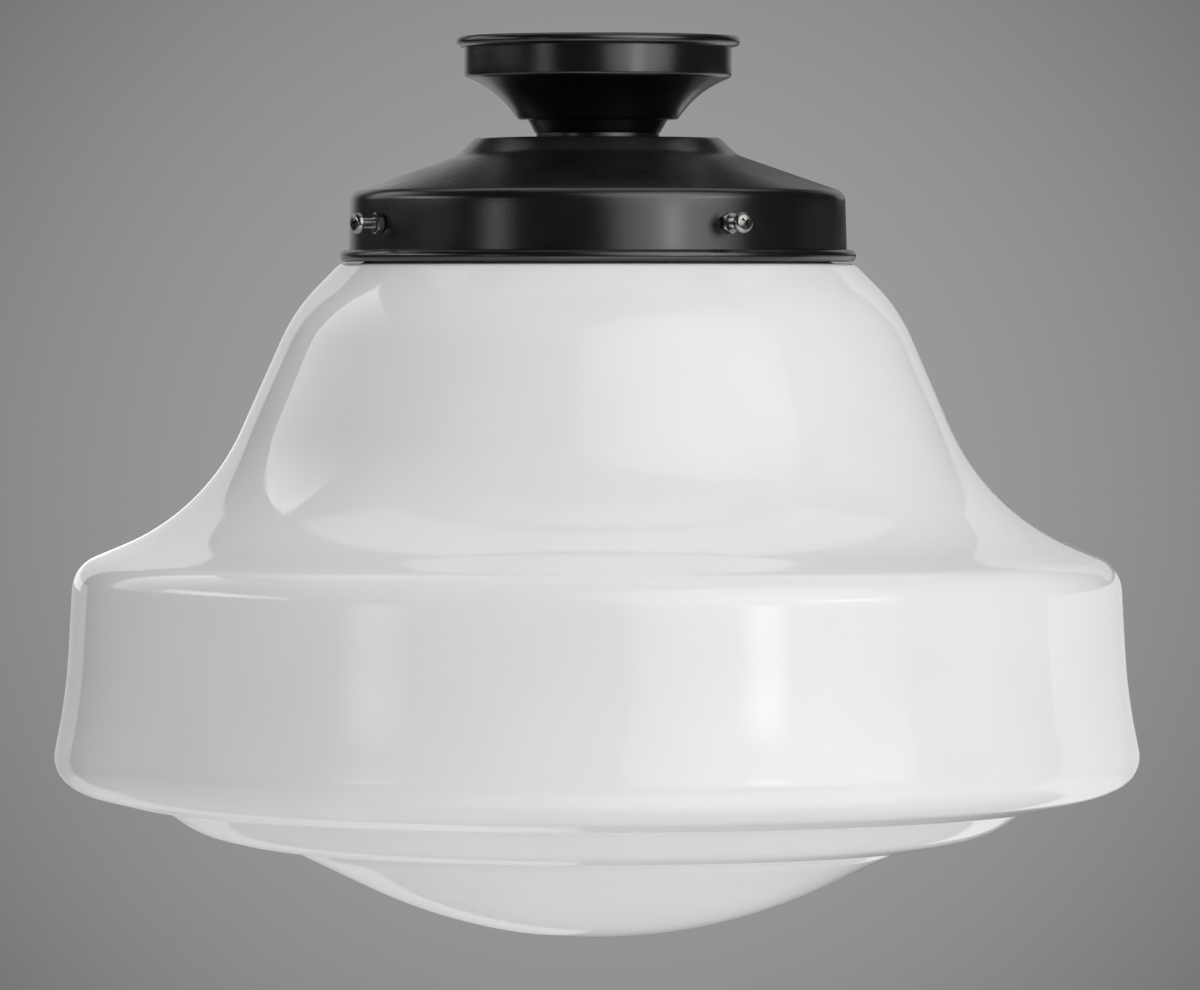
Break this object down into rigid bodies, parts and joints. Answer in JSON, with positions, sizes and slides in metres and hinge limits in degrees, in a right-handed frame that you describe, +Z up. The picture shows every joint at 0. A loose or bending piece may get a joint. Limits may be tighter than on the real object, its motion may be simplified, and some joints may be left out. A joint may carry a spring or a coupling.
{
  "type": "semi flush ceiling light",
  "caption": "Semi flush ceiling light: black spun canopy and shade holder with a large opal glass shade held by set screws.",
  "frame": {"origin": "centre of the slotted bolt pattern in the strap's top face, in the ceiling plane, on the light's own axis", "axes": "+Z up into the ceiling along the axis of the spun and blown pieces, +X along the strap, -Y the front that the picture shows"},
  "size_m": [0.457, 0.457, 0.3792],
  "materials": {
    "black_enamel": "semi-gloss black enamel",
    "opal_glass": "glossy opal white",
    "nickel": "bright nickel plate",
    "zinc_steel": "zinc plate",
    "earth_green": "green passivation",
    "porcelain": "clear glaze",
    "brass": "plain brass",
    "lamp_glass": "frosted white",
    "lamp_metal": "nickel-plated"
  },
  "bodies": {
    "fixture": {"canopy": "black_enamel", "neck_spacer": "black_enamel", "fitter": "black_enamel", "mounting_strap": "zinc_steel", "threaded_nipple": "zinc_steel", "strap_locknut": "zinc_steel", "fitter_locknut": "zinc_steel", "lock_washer": "zinc_steel", "socket_bracket": "zinc_steel", "socket_screws": "zinc_steel", "ground_screw": "earth_green", "socket_body": "porcelain", "screw_shell": "brass", "centre_contact": "brass", "terminal_screws": "brass"},
    "shade": {"shade": "opal_glass"},
    "bulb": {"bulb_glass": "lamp_glass", "bulb_base": "lamp_metal", "bulb_contact": "lamp_metal"},
    "jam_nut_1": {"jam_nut_1": "nickel"},
    "set_screw_1": {"set_screw_1": "nickel"},
    "jam_nut_2": {"jam_nut_2": "nickel"},
    "set_screw_2": {"set_screw_2": "nickel"},
    "jam_nut_3": {"jam_nut_3": "nickel"},
    "set_screw_3": {"set_screw_3": "nickel"},
    "jam_nut_4": {"jam_nut_4": "nickel"},
    "set_screw_4": {"set_screw_4": "nickel"}
  },
  "joints": [
    {"name": "shade_turn", "type": "hinge", "parent": "fixture", "child": "shade", "pos_m": [0, 0, -0.0789], "axis": [0, 0, 1], "continuous": true},
    {"name": "bulb_unscrew", "type": "slide", "parent": "fixture", "child": "bulb", "axis": [0, 0, -1], "range_m": [0, 0.018]},
    {"name": "set_screw_1_travel", "type": "slide", "parent": "fixture", "child": "jam_nut_1", "axis": [0.515, -0.8572, 0], "range_m": [0, 0.004]},
    {"name": "set_screw_1_turn", "type": "hinge", "parent": "jam_nut_1", "child": "set_screw_1", "pos_m": [0.05408, -0.09, -0.0789], "axis": [0.515, -0.8572, 0], "range_deg": [0, 1816]},
    {"name": "set_screw_2_travel", "type": "slide", "parent": "fixture", "child": "jam_nut_2", "axis": [0.8572, 0.515, 0], "range_m": [0, 0.004]},
    {"name": "set_screw_2_turn", "type": "hinge", "parent": "jam_nut_2", "child": "set_screw_2", "pos_m": [0.09, 0.05408, -0.0789], "axis": [0.8572, 0.515, 0], "range_deg": [0, 1816]},
    {"name": "set_screw_3_travel", "type": "slide", "parent": "fixture", "child": "jam_nut_3", "axis": [-0.515, 0.8572, 0], "range_m": [0, 0.004]},
    {"name": "set_screw_3_turn", "type": "hinge", "parent": "jam_nut_3", "child": "set_screw_3", "pos_m": [-0.05408, 0.09, -0.0789], "axis": [-0.515, 0.8572, 0], "range_deg": [0, 1816]},
    {"name": "set_screw_4_travel", "type": "slide", "parent": "fixture", "child": "jam_nut_4", "axis": [-0.8572, -0.515, 0], "range_m": [0, 0.004]},
    {"name": "set_screw_4_turn", "type": "hinge", "parent": "jam_nut_4", "child": "set_screw_4", "pos_m": [-0.09, -0.05408, -0.0789], "axis": [-0.8572, -0.515, 0], "range_deg": [0, 1816]}
  ],
  "couplings": [
    {"joint": "set_screw_1_turn", "follows": "set_screw_1_travel", "rad_per_m": 7915.8},
    {"joint": "set_screw_2_turn", "follows": "set_screw_2_travel", "rad_per_m": 7915.8},
    {"joint": "set_screw_3_turn", "follows": "set_screw_3_travel", "rad_per_m": 7915.8},
    {"joint": "set_screw_4_turn", "follows": "set_screw_4_travel", "rad_per_m": 7915.8}
  ]
}
